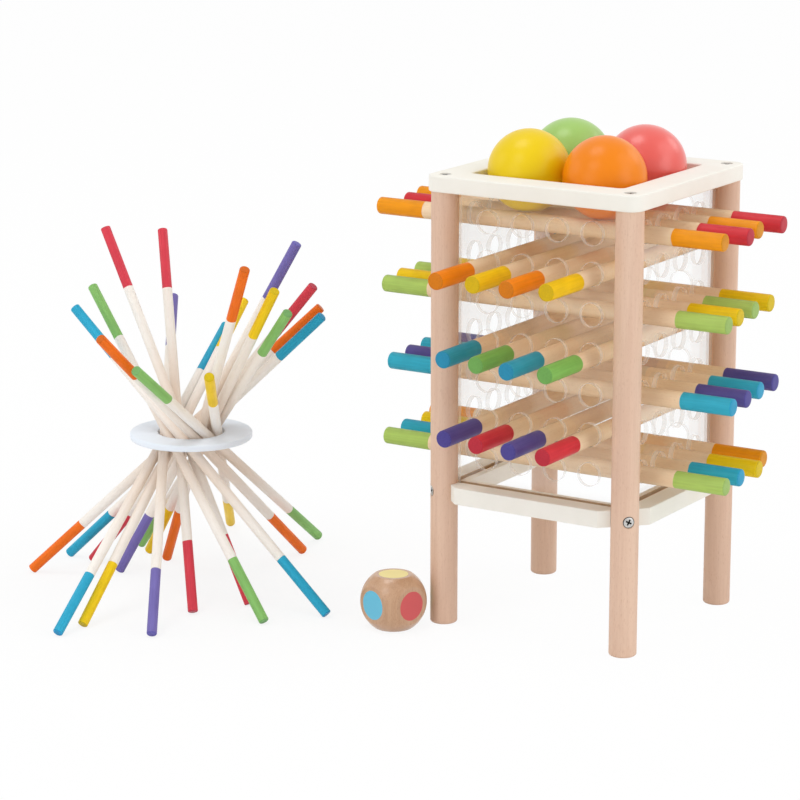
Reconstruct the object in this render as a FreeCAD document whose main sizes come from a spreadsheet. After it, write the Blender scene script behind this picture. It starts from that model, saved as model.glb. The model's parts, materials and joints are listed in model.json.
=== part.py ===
import FreeCAD, Part
import math
import os
import re
import Sketcher

# A wooden pick-up sticks set that stands on a table in three groups: a ball tower whose thick
# sticks slide through clear panels, a bundle of thin sticks gathered by a ring, and a die.
# Millimetres, +Z up. The table is z = 0 and the origin is under the middle of the whole set.

driving_sizes = {
    # where the three groups stand on the table
    "tower_x": 109.0,
    "tower_y": 41.8,
    "bundle_x": -120.2,
    "bundle_y": -33.5,
    "die_x": 30.0,
    "die_y": -42.2,
    # balls and the square mouth they drop through
    "ball_diameter": 48.0,
    "ball_gap": 1.0,
    "mouth_play": 0.5,
    "mouth_corner": 3.0,
    # the two square frames of the tower
    "frame_beam": 19.5,
    "frame_thickness": 9.5,
    "frame_corner": 8.0,
    "frame_edge": 1.0,
    "base_beam": 20.0,
    "base_thickness": 10.0,
    "base_corner_cut": 22.0,
    "base_edge": 0.6,
    # round posts
    "leg_height": 75.0,
    "post_diameter": 16.0,
    "post_margin": 1.0,
    "post_foot_round": 1.5,
    "post_fit": 0.1,
    # clear panels, the grooves that hold them and the rows of holes
    "panel_thickness": 3.0,
    "panel_lip": 6.0,
    "panel_gap": 0.3,
    "panel_play": 0.2,
    "groove_depth": 3.0,
    "groove_fit": 0.1,
    "bottom_row_rise": 16.4,
    "row_pitch": 23.1,
    "top_row_drop": 16.5,
    "column_pitch": 22.5,
    # thick sticks of the tower
    "stick_diameter": 10.0,
    "stick_length": 225.0,
    "stick_end_round": 1.0,
    "hole_play": 3.5,
    "rest_gap": 0.3,
    # countersunk cross-head screws
    "screw_head": 7.0,
    "screw_head_height": 2.2,
    "screw_shank": 3.0,
    "screw_length": 22.0,
    "screw_point": 2.5,
    "screw_fit": 0.1,
    "screw_sink": 0.5,
    "recess_width": 0.9,
    "recess_length": 3.8,
    "recess_depth": 1.2,
    # thin sticks and the ring that holds them
    "thin_diameter": 6.0,
    "thin_length": 247.0,
    "thin_end_round": 0.8,
    "thin_gap": 0.15,
    "ring_height": 92.0,
    "ring_width": 17.0,
    "ring_thickness": 4.0,
    "ring_edge": 1.0,
    "ring_gap": 0.1,
    "bundle_slack": 10.8,
    # die: a cube whose corners are turned off by a ball
    "die_size": 32.0,
    "die_roundness": 39.0,
}

row_count = 7
column_count = 4
die_turn = -17.0

# How far each thick stick has been pushed, in mm, from its middle place. Odd rows run left to
# right and count towards the right; even rows run front to back and count towards the back.
stick_shifts = [
    [-7.0, -2.5, -7.5, -3.5],
    [0.0, 2.0, 0.5, 5.0],
    [-3.5, -7.5, -9.0, -10.0],
    [8.0, 6.0, 1.0, 4.5],
    [0.5, -1.5, -4.5, -6.0],
    [9.5, 6.5, 4.0, 3.0],
    [-2.5, -4.5, -4.0, -12.0],
]

# Each thin stick: its colour, where its foot stands and where it passes through the ring,
# both in mm from the ring's axis, before the sticks settle against each other.
thin_sticks = [
    ("orange", (-98, -35), (-12, 11)),
    ("blue", (-100, 5), (-4, 16)),
    ("red", (-80, 3), (-4, 10)),
    ("blue", (-4, -129), (-16, -3)),
    ("yellow", (-2, -108), (-10, 0)),
    ("purple", (-52, -6), (-1, 3)),
    ("green", (-75, 47), (5, 15)),
    ("yellow", (-62, 38), (4, 9)),
    ("orange", (-43, 31), (6, 0)),
    ("purple", (43, -101), (-12, -11)),
    ("red", (37, -52), (-4, -7)),
    ("yellow", (-55, 117), (12, 10)),
    ("green", (84, -46), (-4, -15)),
    ("red", (56, -21), (3, -9)),
    ("blue", (108, -15), (6, -14)),
    ("orange", (21, 89), (11, -8)),
    ("green", (11, 121), (14, 0)),
]

# Share of a round hole that parallel round sticks fill when they are pulled tight together.
packed_share = 0.72

doc = FreeCAD.newDocument("PickUpSticks")
sheet = doc.addObject("Spreadsheet::Sheet", "Sizes")
for line, (alias, size) in enumerate(driving_sizes.items(), start=1):
    sheet.set(f"A{line}", alias.replace("_", " "))
    sheet.set(f"B{line}", str(size))
    sheet.setAlias(f"B{line}", alias)
doc.recompute()

# Formulas of the sizes, each one text that a property or a sketch dimension is tied to.
# Heights go up from the table, and half widths go out from the middle of the tower.
base_top = "(leg_height + base_thickness)"
row_span = f"({row_count - 1} * row_pitch)"
frame_bottom = f"({base_top} + bottom_row_rise + {row_span} + top_row_drop)"
tower_height = f"({frame_bottom} + frame_thickness)"
screw_height = "(leg_height + base_thickness / 2)"
mouth_half = "(ball_diameter + ball_gap / 2 + mouth_play)"
frame_half = f"({mouth_half} + frame_beam)"
base_half = f"({mouth_half} + base_beam)"
post_radius = "(post_diameter / 2)"
post_offset = f"({frame_half} - {post_radius} - post_margin)"
panel_offset = f"({mouth_half} + panel_lip)"
panel_step = f"max({post_offset} - {panel_offset} - panel_thickness / 2; 0)"
panel_half = f"({post_offset} - sqrt({post_radius} ^ 2 - {panel_step} ^ 2) - panel_gap)"
hole_radius = "((stick_diameter + hole_play) / 2)"
ball_offset = "((ball_diameter + ball_gap) / 2)"
ring_bore = f"(thin_diameter * {math.sqrt(len(thin_sticks) / packed_share):.3f} + bundle_slack)"


def row_height(row):
    """Middle of a row of panel holes; row 0 is the top one."""
    return f"({frame_bottom} - top_row_drop - {row} * row_pitch)"


def stick_height(row):
    """Axis of the thick sticks of a row, which lie at the bottom of their holes."""
    return f"({row_height(row)} - hole_play / 2 + rest_gap)"


def column_place(column):
    """Place of a column of holes across its panel, from the panel's middle."""
    return f"({column - (column_count - 1) / 2} * column_pitch)"


def expression(formula):
    """A formula with its size names pointed at the sheet."""
    def cell(word):
        return f"Sizes.{word[0]}" if word[0] in driving_sizes else word[0]

    return re.sub("[a-z_]+", cell, formula)


def value(formula):
    return float(sheet.evalExpression(expression(formula)))


def bind(item, **formulas):
    """Tie properties to formulas; two underscores in a name stand for a dot."""
    for name, formula in formulas.items():
        item.setExpression(name.replace("__", "."), expression(formula))


pieces = []


def finish(piece, x="tower_x", y="tower_y", z="0", rotation=FreeCAD.Rotation()):
    """Put a piece in its place on the table and keep it for the files."""
    piece.Placement = FreeCAD.Placement(FreeCAD.Vector(), rotation)
    bind(piece, Placement__Base__x=x, Placement__Base__y=y, Placement__Base__z=z)
    pieces.append(piece)


def about_z(degrees):
    return FreeCAD.Rotation(FreeCAD.Vector(0, 0, 1), degrees)


def new_body(label):
    body = doc.addObject("PartDesign::Body", label)
    body.Label = label
    return body


def origin_item(body, role):
    return next(item for item in body.Origin.OriginFeatures if item.Role == role)


def new_sketch(body, name, role, x="0", y="0", z="0", turn=0.0):
    """A sketch on an origin plane, moved by x and y in it and z off it, and turned in it."""
    sketch = body.newObject("Sketcher::SketchObject", name)
    sketch.AttachmentSupport = [(origin_item(body, role), "")]
    sketch.MapMode = "FlatFace"
    sketch.AttachmentOffset = FreeCAD.Placement(FreeCAD.Vector(), about_z(turn))
    bind(
        sketch,
        AttachmentOffset__Base__x=x,
        AttachmentOffset__Base__y=y,
        AttachmentOffset__Base__z=z,
    )
    return sketch


def dimension(sketch, kind, points, formula):
    index = sketch.addConstraint(Sketcher.Constraint(kind, *points, value(formula)))
    sketch.setExpression(f"Constraints[{index}]", expression(formula))


def fix_point(sketch, geometry, end, x, y):
    """Dimension a point from the sketch's axes, or lay it on an axis where it is 0."""
    for kind, axis, formula in (("DistanceX", -2, x), ("DistanceY", -1, y)):
        if formula == "0":
            sketch.addConstraint(Sketcher.Constraint("PointOnObject", geometry, end, axis))
        else:
            dimension(sketch, kind, (-1, 1, geometry, end), formula)


def draw_circle(sketch, radius, x="0", y="0"):
    centre = FreeCAD.Vector(value(x), value(y), 0)
    circle = Part.Circle(centre, FreeCAD.Vector(0, 0, 1), value(radius))
    index = sketch.addGeometry(circle, False)
    fix_point(sketch, index, 3, x, y)
    dimension(sketch, "Radius", (index,), radius)


def draw_outline(sketch, corners):
    """A closed outline of straight lines through corners given as pairs of formulas."""
    points = [FreeCAD.Vector(value(x), value(y), 0) for x, y in corners]
    lines = [
        sketch.addGeometry(Part.LineSegment(point, after), False)
        for point, after in zip(points, points[1:] + points[:1])
    ]
    for line, after in zip(lines, lines[1:] + lines[:1]):
        sketch.addConstraint(Sketcher.Constraint("Coincident", line, 2, after, 1))
    for line, corner in zip(lines, corners):
        fix_point(sketch, line, 1, *corner)


def draw_rectangle(sketch, left, right, low, high):
    draw_outline(sketch, [(left, low), (right, low), (right, high), (left, high)])


def pad(body, sketch, length):
    feature = body.newObject("PartDesign::Pad", sketch.Name + "Pad")
    feature.Profile = sketch
    bind(feature, Length=length)
    doc.recompute()
    return feature


def cut(body, kind, sketch, **settings):
    """Cut a sketch out of the body by a pocket or a groove, and see that material went."""
    before = body.Shape.Volume
    feature = body.newObject(kind, sketch.Name + "Cut")
    feature.Profile = sketch
    for name, setting in settings.items():
        setattr(feature, name, setting)
    doc.recompute()
    if not body.Shape.Volume < before - 1e-6:
        raise RuntimeError(f"{feature.Name} cuts nothing from {body.Label}")
    return feature


def pocket(body, sketch, length, **settings):
    feature = cut(body, "PartDesign::Pocket", sketch, Length=value(length), **settings)
    bind(feature, Length=length)
    doc.recompute()
    return feature


def quarter_turns(body, feature):
    """Repeat a feature on the four sides or corners of the tower."""
    pattern = body.newObject("PartDesign::PolarPattern", feature.Name + "Turns")
    pattern.Originals = [feature]
    pattern.Axis = (origin_item(body, "Z_Axis"), [""])
    pattern.Angle = 360.0
    pattern.Occurrences = 4
    body.Tip = pattern
    doc.recompute()


def edge_names(shape, chosen):
    """Names of the edges that are chosen by their middle point and their direction there."""
    names = []
    for index, edge in enumerate(shape.Edges, start=1):
        middle = (edge.FirstParameter + edge.LastParameter) / 2
        if chosen(edge.valueAt(middle), edge.tangentAt(middle)):
            names.append(f"Edge{index}")
    return names


def soften(body, name, chosen, size, kind="Fillet"):
    """Round off or cut off the chosen edges of the body."""
    base = body.Tip
    feature = body.newObject("PartDesign::" + kind, name)
    feature.Base = (base, edge_names(base.Shape, chosen))
    bind(feature, **{"Radius" if kind == "Fillet" else "Size": size})
    doc.recompute()


def is_upright(middle, direction):
    return abs(direction.z) > 0.999


def is_level(middle, direction):
    return abs(direction.z) < 0.001


def dowel(label, diameter, length, end_round, both_ends=True):
    """A round stick along Z from its own origin, with its ends rounded off."""
    body = new_body(label)
    rod = body.newObject("PartDesign::AdditiveCylinder", label + "_rod")
    bind(rod, Radius=f"{diameter} / 2", Height=length)
    doc.recompute()

    def is_end(middle, direction):
        return is_level(middle, direction) and (both_ends or middle.z < value(length) / 2)

    soften(body, label + "_ends", is_end, end_round)
    return body


# The profile of a screw and of the hole that it seats in, as half sections with the head's
# top at height 0. The hole has its fit all round and goes on above the head.
screw_profile = [
    ("0", "-screw_length"),
    ("screw_shank / 2", "-(screw_length - screw_point)"),
    ("screw_shank / 2", "-screw_head_height"),
    ("screw_head / 2", "0"),
    ("0", "0"),
]
seat_profile = [
    ("0", "-(screw_length + screw_fit)"),
    ("(screw_shank + screw_fit) / 2", "-(screw_length + screw_fit)"),
    ("(screw_shank + screw_fit) / 2", "-(screw_head_height + screw_fit)"),
    ("screw_head / 2 + screw_fit", "-screw_fit"),
    ("screw_head / 2 + screw_fit", "2 * screw_sink"),
    ("0", "2 * screw_sink"),
]


def screw_seat(body, name, role, **place):
    """Cut the hole of one screw, which points along the sketch's own upward axis."""
    sketch = new_sketch(body, name, role, **place)
    draw_outline(sketch, seat_profile)
    return cut(body, "PartDesign::Groove", sketch, ReferenceAxis=(sketch, ["V_Axis"]))


def square_frame(label, half, thickness, bottom, top, corner, corner_kind, edge):
    """A square frame with worked corners and softened edges, and the mouth through it."""
    body = new_body(label)
    outline = new_sketch(body, label + "_outline", "XY_Plane", z=bottom)
    draw_rectangle(outline, f"-{half}", half, f"-{half}", half)
    pad(body, outline, thickness)
    soften(body, label + "_corners", is_upright, corner, corner_kind)
    soften(body, label + "_edges", is_level, edge)
    mouth = new_sketch(body, label + "_mouth", "XY_Plane", z=top)
    draw_rectangle(mouth, f"-{mouth_half}", mouth_half, f"-{mouth_half}", mouth_half)
    pocket(body, mouth, thickness)
    reach = value(mouth_half) + 0.01

    def is_mouth_corner(middle, direction):
        return is_upright(middle, direction) and max(abs(middle.x), abs(middle.y)) < reach

    def is_mouth_rim(middle, direction):
        inside = max(abs(middle.x), abs(middle.y)) < reach
        return inside and is_level(middle, direction) and abs(middle.z - value(top)) < 0.01

    soften(body, label + "_mouth_corners", is_mouth_corner, "mouth_corner")
    soften(body, label + "_mouth_rim", is_mouth_rim, edge)
    return body


def panel_grooves(body, name, level, **settings):
    """Grooves along the four sides that hold the ends of the clear panels."""
    sketch = new_sketch(body, name, "XY_Plane", z=level)
    near = f"-({panel_offset} - (panel_thickness + groove_fit) / 2)"
    far = f"-({panel_offset} + (panel_thickness + groove_fit) / 2)"
    end = f"({panel_half} + groove_fit)"
    draw_rectangle(sketch, f"-{end}", end, far, near)
    quarter_turns(body, pocket(body, sketch, "groove_depth", **settings))


def build_top_frame():
    """Painted frame on top of the posts, with the mouth that the balls sit in."""
    body = square_frame("top_frame", frame_half, "frame_thickness", frame_bottom, tower_height,
                        "frame_corner", "Fillet", "frame_edge")
    panel_grooves(body, "top_groove", frame_bottom, Reversed=True)
    seat = screw_seat(body, "top_screw_hole", "XZ_Plane", x=post_offset,
                      y=f"{tower_height} - screw_sink", z=post_offset)
    quarter_turns(body, seat)
    finish(body)


def build_base_frame():
    """Lower frame, held between the posts, which stand half sunk in its cut corners."""
    body = square_frame("base_frame", base_half, "base_thickness", "leg_height", base_top,
                        "base_corner_cut", "Chamfer", "base_edge")
    panel_grooves(body, "base_groove", base_top)
    notch = new_sketch(body, "post_notch", "XY_Plane", z=base_top)
    draw_circle(notch, f"{post_radius} + post_fit", x=post_offset, y=post_offset)
    quarter_turns(body, pocket(body, notch, "base_thickness"))
    head = f"({post_offset} + ({post_radius} - screw_sink) / sqrt(2))"
    seat = screw_seat(body, "base_screw_hole", "XY_Plane", x=head, y=head, z=screw_height,
                      turn=-45.0)
    quarter_turns(body, seat)
    finish(body)


def build_post(label, side_x, side_y, outward):
    """Round post with one screw hole in its top and one across it, level with the base."""
    body = dowel(label, "post_diameter", frame_bottom, "post_foot_round", both_ends=False)
    screw_seat(body, label + "_top_hole", "XZ_Plane", y=f"{tower_height} - screw_sink")
    screw_seat(body, label + "_side_hole", "XY_Plane", x=f"{post_radius} - screw_sink",
               z=screw_height, turn=-90.0)
    finish(body, f"tower_x + {side_x} * {post_offset}", f"tower_y + {side_y} * {post_offset}",
           rotation=about_z(outward))


def build_panels(label, turn):
    """Two facing clear panels with a hole for every stick, in the grooves of both frames."""
    body = new_body(label)
    foot = f"({base_top} - groove_depth)"
    outline = new_sketch(body, label + "_outline", "XY_Plane", z=foot)
    near = f"({panel_offset} - panel_thickness / 2)"
    far = f"({panel_offset} + panel_thickness / 2)"
    draw_rectangle(outline, f"-{panel_half}", panel_half, f"-{far}", f"-{near}")
    draw_rectangle(outline, f"-{panel_half}", panel_half, near, far)
    pad(body, outline, f"{frame_bottom} + groove_depth - panel_play - {foot}")
    holes = new_sketch(body, label + "_holes", "XZ_Plane")
    for column in range(column_count):
        draw_circle(holes, hole_radius, x=column_place(column), y=row_height(0))
    row = pocket(body, holes, f"2 * ({far} + panel_thickness)", Midplane=True)
    rows = body.newObject("PartDesign::LinearPattern", label + "_rows")
    rows.Originals = [row]
    rows.Direction = (holes, ["V_Axis"])
    rows.Reversed = True
    rows.Occurrences = row_count
    bind(rows, Length=row_span)
    body.Tip = rows
    doc.recompute()
    finish(body, rotation=about_z(turn))


def build_screws():
    """Eight equal screws: one down into each post, and one through each post to the base."""
    screw = new_body("screw_pattern")
    profile = new_sketch(screw, "screw_profile", "XZ_Plane")
    draw_outline(profile, screw_profile)
    shaft = screw.newObject("PartDesign::Revolution", "screw_turned")
    shaft.Profile = profile
    shaft.ReferenceAxis = (profile, ["V_Axis"])
    doc.recompute()
    cross = new_sketch(screw, "screw_recess", "XY_Plane")
    long, short = "recess_length / 2", "recess_width / 2"
    quarter = [(long, f"-{short}"), (long, short), (short, short)]
    corners = []
    for _ in range(4):
        corners += quarter
        quarter = [(f"-({y})", x) for x, y in quarter]
    draw_outline(cross, corners)
    pocket(screw, cross, "recess_depth")
    links = []
    for side_x, side_y in ((-1, -1), (1, -1), (1, 1), (-1, 1)):
        down = doc.addObject("App::Link", "top_screw")
        across = doc.addObject("App::Link", "side_screw")
        outward = FreeCAD.Rotation(FreeCAD.Vector(0, 0, 1), FreeCAD.Vector(side_x, side_y, 0))
        heads = (post_offset, f"{post_offset} + ({post_radius} - screw_sink) / sqrt(2)")
        heights = (f"{tower_height} - screw_sink", screw_height)
        for link, head, height in zip((down, across), heads, heights):
            link.LinkedObject = screw
            link.Placement.Rotation = outward if link == across else FreeCAD.Rotation()
            bind(link, Placement__Base__x=f"{side_x} * ({head})",
                 Placement__Base__y=f"{side_y} * ({head})", Placement__Base__z=height)
            links.append(link)
    screws = doc.addObject("Part::Compound", "screws")
    screws.Links = links
    finish(screws)


def build_tower_sticks():
    """Rows of thick sticks that lie in the panel holes, every other row at right angles."""
    for row, shifts in enumerate(stick_shifts):
        crosswise = row % 2 == 0
        for column, shift in enumerate(shifts):
            label = f"row{row + 1}_stick_{column + 1}"
            body = dowel(label, "stick_diameter", "stick_length", "stick_end_round")
            start = f"(-stick_length / 2 + {shift})"
            if crosswise:
                along = FreeCAD.Rotation(FreeCAD.Vector(0, 1, 0), 90)
                place = (f"tower_x + {start}", f"tower_y + {column_place(column)}")
            else:
                along = FreeCAD.Rotation(FreeCAD.Vector(1, 0, 0), -90)
                place = (f"tower_x + {column_place(column)}", f"tower_y + {start}")
            finish(body, *place, stick_height(row), along)


def build_balls():
    """Four balls, two by two in the mouth, that lie on the top row of sticks."""
    reach = "((ball_diameter + stick_diameter) / 2)"
    rises = [
        f"sqrt({reach} ^ 2 - ({ball_offset} - {column_place(column)}) ^ 2)"
        for column in (column_count // 2, column_count - 1)
    ]
    centre = f"{stick_height(0)} + max({rises[0]}; {rises[1]}) + rest_gap"
    for colour, side_x, side_y in (("yellow", -1, -1), ("orange", 1, -1),
                                   ("green", -1, 1), ("red", 1, 1)):
        ball = doc.addObject("Part::Sphere", f"ball_{colour}")
        bind(ball, Radius="ball_diameter / 2")
        finish(ball, f"tower_x + {side_x} * {ball_offset}",
               f"tower_y + {side_y} * {ball_offset}", centre)


def build_die():
    """Cube with its corners and edges turned off by a ball round the same centre."""
    cube = doc.addObject("Part::Box", "die_cube")
    bind(cube, Length="die_size", Width="die_size", Height="die_size",
         Placement__Base__x="-die_size / 2", Placement__Base__y="-die_size / 2")
    turned_off = doc.addObject("Part::Sphere", "die_ball")
    bind(turned_off, Radius="die_roundness / 2", Placement__Base__z="die_size / 2")
    die = doc.addObject("Part::Common", "die")
    die.Base = cube
    die.Tool = turned_off
    finish(die, "die_x", "die_y", rotation=about_z(die_turn))


def build_ring():
    """Flat ring that the thin sticks are gathered in."""
    body = new_body("ring")
    outline = new_sketch(body, "ring_outline", "XY_Plane")
    draw_circle(outline, f"{ring_bore} / 2 + ring_width")
    draw_circle(outline, f"{ring_bore} / 2")
    pad(body, outline, "ring_thickness")
    soften(body, "ring_edges", is_level, "ring_edge")
    finish(body, "bundle_x", "bundle_y", "ring_height")


def nearest_shares(stick, other, reach):
    """How far along two sticks, as shares of their length, they pass closest."""
    run, other_run = stick[1] - stick[0], other[1] - other[0]
    between = stick[0] - other[0]
    a, b, c = run.dot(run), run.dot(other_run), other_run.dot(other_run)
    d, e = run.dot(between), other_run.dot(between)
    share = min(max((b * e - c * d) / (a * c - b * b), 0), reach)
    other_share = min(max((e + share * b) / c, 0), reach)
    share = min(max((other_share * b - d) / a, 0), reach)
    return share, other_share


def move_point(stick, share, step):
    """Shift a stick so that its point at a share of its length moves by a step."""
    weight = (1 - share) ** 2 + share ** 2
    stick[0] += step * ((1 - share) / weight)
    stick[1] += step * (share / weight)


def push_apart(stick, other, distance, reach):
    """Move two sticks apart if they pass closer than a distance."""
    share, other_share = nearest_shares(stick, other, reach)
    gap = (stick[0] + (stick[1] - stick[0]) * share
           - other[0] - (other[1] - other[0]) * other_share)
    missing = distance - gap.Length
    if missing <= 0:
        return 0
    step = gap * (missing / 2 / gap.Length)
    move_point(stick, share, step)
    move_point(other, other_share, step * -1)
    return missing


def push_into_ring(stick, radius, level, clear_radius):
    """Move a stick inwards where its slanted section at a level leaves a circle."""
    run = stick[1] - stick[0]
    share = (level - stick[0].z) / run.z
    centre = stick[0] + run * share
    along = FreeCAD.Vector(run.x, run.y, 0).normalize() * (radius * run.Length / run.z)
    across = FreeCAD.Vector(-along.y, along.x, 0).normalize() * radius
    rim = [
        FreeCAD.Vector(centre.x, centre.y, 0) + along * math.cos(turn) + across * math.sin(turn)
        for turn in (math.radians(15 * step) for step in range(24))
    ]
    outermost = max(rim, key=lambda point: point.Length)
    missing = outermost.Length - clear_radius
    if missing > 0:
        move_point(stick, share, outermost * (-missing / outermost.Length))
    return max(missing, 0)


def stand_on_table(stick, radius, length, end_round):
    """Give a stick its length again, with the lowest point of its rounded foot at z = 0."""
    direction = (stick[1] - stick[0]).normalize()
    slope = math.hypot(direction.x, direction.y)
    stick[0].z = (radius - end_round) * slope + end_round * (1 - direction.z)
    stick[1] = stick[0] + direction * length


def settle_bundle():
    """Foot and head of each thin stick, from the ring's axis, clear of all the others."""
    radius = value("thin_diameter / 2")
    length = value("thin_length")
    end_round = value("thin_end_round")
    levels = (value("ring_height"), value("ring_height + ring_thickness"))
    clear_radius = value(f"{ring_bore} / 2 - ring_gap")
    apart = value("thin_diameter + thin_gap")
    drawn_out = 1.75
    close_enough = 0.004
    most_rounds = 1500
    bundle = []
    for _, foot, crossing in thin_sticks:
        low = FreeCAD.Vector(*foot, radius)
        high = FreeCAD.Vector(*crossing, sum(levels) / 2)
        bundle.append([low, high])
    for stick in bundle:
        stand_on_table(stick, radius, length, end_round)
    for _ in range(most_rounds):
        worst = 0
        for index, stick in enumerate(bundle):
            for other in bundle[index + 1:]:
                worst = max(worst, push_apart(stick, other, apart, drawn_out))
        for stick in bundle:
            for level in levels:
                worst = max(worst, push_into_ring(stick, radius, level, clear_radius))
            stand_on_table(stick, radius, length, end_round)
        if worst < close_enough:
            break
    return bundle


def build_bundle():
    """Thin sticks, numbered by colour, that lean through the ring."""
    numbers = {}
    for (colour, _, _), (foot, head) in zip(thin_sticks, settle_bundle()):
        numbers[colour] = numbers.get(colour, 0) + 1
        label = f"thin_stick_{colour}_{numbers[colour]}"
        body = dowel(label, "thin_diameter", "thin_length", "thin_end_round")
        lean = FreeCAD.Rotation(FreeCAD.Vector(0, 0, 1), head - foot)
        finish(body, f"bundle_x + {foot.x}", f"bundle_y + {foot.y}", f"{foot.z}", lean)


build_top_frame()
build_base_frame()
build_post("post_front_left", -1, -1, -135)
build_post("post_front_right", 1, -1, -45)
build_post("post_back_right", 1, 1, 45)
build_post("post_back_left", -1, 1, 135)
build_panels("front_and_back_panels", 0)
build_panels("side_panels", 90)
build_screws()
build_tower_sticks()
build_balls()
build_die()
build_ring()
build_bundle()
doc.recompute()

for item in doc.Objects:
    if "Invalid" in item.State or "Error" in item.State:
        raise RuntimeError(f"{item.Label} did not recompute")
for piece in pieces:
    if piece.Shape.isNull() or not piece.Shape.isValid():
        raise RuntimeError(f"{piece.Label} has no valid shape")

os.makedirs("parts", exist_ok=True)
for piece in pieces:
    piece.Shape.exportStep(f"parts/{piece.Label}.step")
whole = FreeCAD.BoundBox()
for piece in pieces:
    whole.add(piece.Shape.BoundBox)
print(f"{len(pieces)} pieces, from {whole.XMin:.2f} {whole.YMin:.2f} {whole.ZMin:.2f}")
print(f"to {whole.XMax:.2f} {whole.YMax:.2f} {whole.ZMax:.2f}")
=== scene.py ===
import json
import math
from random import Random

import bmesh
import bpy
from mathutils import Matrix, Vector


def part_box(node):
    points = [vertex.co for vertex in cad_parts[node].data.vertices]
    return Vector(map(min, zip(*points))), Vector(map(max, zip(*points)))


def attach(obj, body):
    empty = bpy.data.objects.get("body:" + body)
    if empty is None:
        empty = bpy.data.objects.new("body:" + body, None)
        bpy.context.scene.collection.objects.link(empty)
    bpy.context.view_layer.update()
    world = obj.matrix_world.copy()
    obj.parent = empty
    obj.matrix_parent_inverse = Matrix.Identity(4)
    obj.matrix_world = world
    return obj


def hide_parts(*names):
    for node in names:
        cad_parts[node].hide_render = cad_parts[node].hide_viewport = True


# A wooden pick-up sticks set, dressed for the photograph: stick tower, bundle in its ring, and die.

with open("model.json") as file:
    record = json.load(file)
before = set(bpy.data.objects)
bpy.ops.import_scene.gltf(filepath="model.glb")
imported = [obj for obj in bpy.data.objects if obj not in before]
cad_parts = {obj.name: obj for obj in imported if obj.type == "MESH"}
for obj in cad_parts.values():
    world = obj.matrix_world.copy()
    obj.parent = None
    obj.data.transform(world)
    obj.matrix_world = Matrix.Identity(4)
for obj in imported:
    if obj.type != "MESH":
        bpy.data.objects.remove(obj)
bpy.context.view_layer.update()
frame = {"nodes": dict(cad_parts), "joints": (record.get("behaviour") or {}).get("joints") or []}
nodes = frame["nodes"]
dice = Random(41)
print("frame loaded:", len(nodes), "nodes")


photoCamera = {
    "position": (0.95955, -1.51675, 0.55761),
    "turn": 32.103,  # degrees to the left of straight back
    "pitch": 13.590,  # degrees down
    "lens": 140.28,
    "sensor": 36.0,
}

cameraData = bpy.data.cameras.new("photoCamera")
cameraData.lens = photoCamera["lens"]
cameraData.sensor_width = photoCamera["sensor"]
cameraData.clip_start = 0.05
cameraData.clip_end = 50.0
camera = bpy.data.objects.new("photoCamera", cameraData)
camera.location = photoCamera["position"]
camera.rotation_euler = (
    math.radians(90 - photoCamera["pitch"]),
    0.0,
    math.radians(photoCamera["turn"]),
)
bpy.context.scene.collection.objects.link(camera)
bpy.context.scene.camera = camera


def addNode(tree, kind, values=None, **settings):
    node = tree.nodes.new(kind)
    for setting, value in settings.items():
        setattr(node, setting, value)
    for socket, value in (values or {}).items():
        node.inputs[socket].default_value = value
    return node


def join(tree, source, target):
    tree.links.new(source, target)


def maths(tree, operation, first, second=None, clamp=False):
    # a Math node whose inputs are sockets or plain numbers
    node = addNode(tree, "ShaderNodeMath", operation=operation, use_clamp=clamp)
    for index, value in enumerate((first, second)):
        if value is None:
            continue
        if isinstance(value, (int, float)):
            node.inputs[index].default_value = value
        else:
            join(tree, value, node.inputs[index])
    return node.outputs[0]


def mixColour(tree, factor, first, second, blend="MIX"):
    # inputs 6 and 7 are the two colours of a Mix node
    node = addNode(tree, "ShaderNodeMix", data_type="RGBA", blend_type=blend)
    for socket, value in ((node.inputs[0], factor), (node.inputs[6], first), (node.inputs[7], second)):
        if isinstance(value, (int, float, tuple)):
            socket.default_value = value
        else:
            join(tree, value, socket)
    return node.outputs[2]


def full(colour):
    return (*colour, 1.0)


def split(tree, position):
    node = addNode(tree, "ShaderNodeSeparateXYZ")
    join(tree, position, node.inputs[0])
    return node.outputs


def noise(tree, position, scale, detail=2.0, roughness=0.5, distortion=0.0):
    values = {"Scale": scale, "Detail": detail, "Roughness": roughness, "Distortion": distortion}
    node = addNode(tree, "ShaderNodeTexNoise", values)
    join(tree, position, node.inputs["Vector"])
    return node.outputs["Fac"]


def grain(tree, position, drawn, detail, roughness=0.5, distortion=0.0):
    # noise drawn out along z: its scale, and the share of that scale which is left along z
    scale, share = drawn
    node = addNode(tree, "ShaderNodeMapping", {"Scale": (1, 1, share)}, vector_type="POINT")
    join(tree, position, node.inputs["Vector"])
    return noise(tree, node.outputs[0], scale, detail, roughness, distortion)


def wander(tree, position, wobble, detail):
    # a small length either way, by which the edge of a coat of paint strays
    scale, width = wobble
    centred = maths(tree, "SUBTRACT", noise(tree, position, scale, detail), 0.5)
    return maths(tree, "MULTIPLY", centred, width)


def weighted(tree, first, share, second, otherShare):
    parts = maths(tree, "MULTIPLY", first, share), maths(tree, "MULTIPLY", second, otherShare)
    return maths(tree, "ADD", *parts)


def ramp(tree, factor, low, high, start=0.0, end=1.0):
    node = addNode(
        tree,
        "ShaderNodeMapRange",
        {"From Min": low, "From Max": high, "To Min": start, "To Max": end},
        interpolation_type="SMOOTHSTEP",
    )
    join(tree, factor, node.inputs["Value"])
    return node.outputs[0]


def newGroup(name, inputs, outputs):
    group = bpy.data.node_groups.new(name, "ShaderNodeTree")
    for direction, sockets in (("INPUT", inputs), ("OUTPUT", outputs)):
        for label, kind in sockets:
            group.interface.new_socket(name=label, in_out=direction, socket_type=kind)
    source = group.nodes.new("NodeGroupInput")
    target = group.nodes.new("NodeGroupOutput")
    return group, source.outputs, target.inputs


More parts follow.
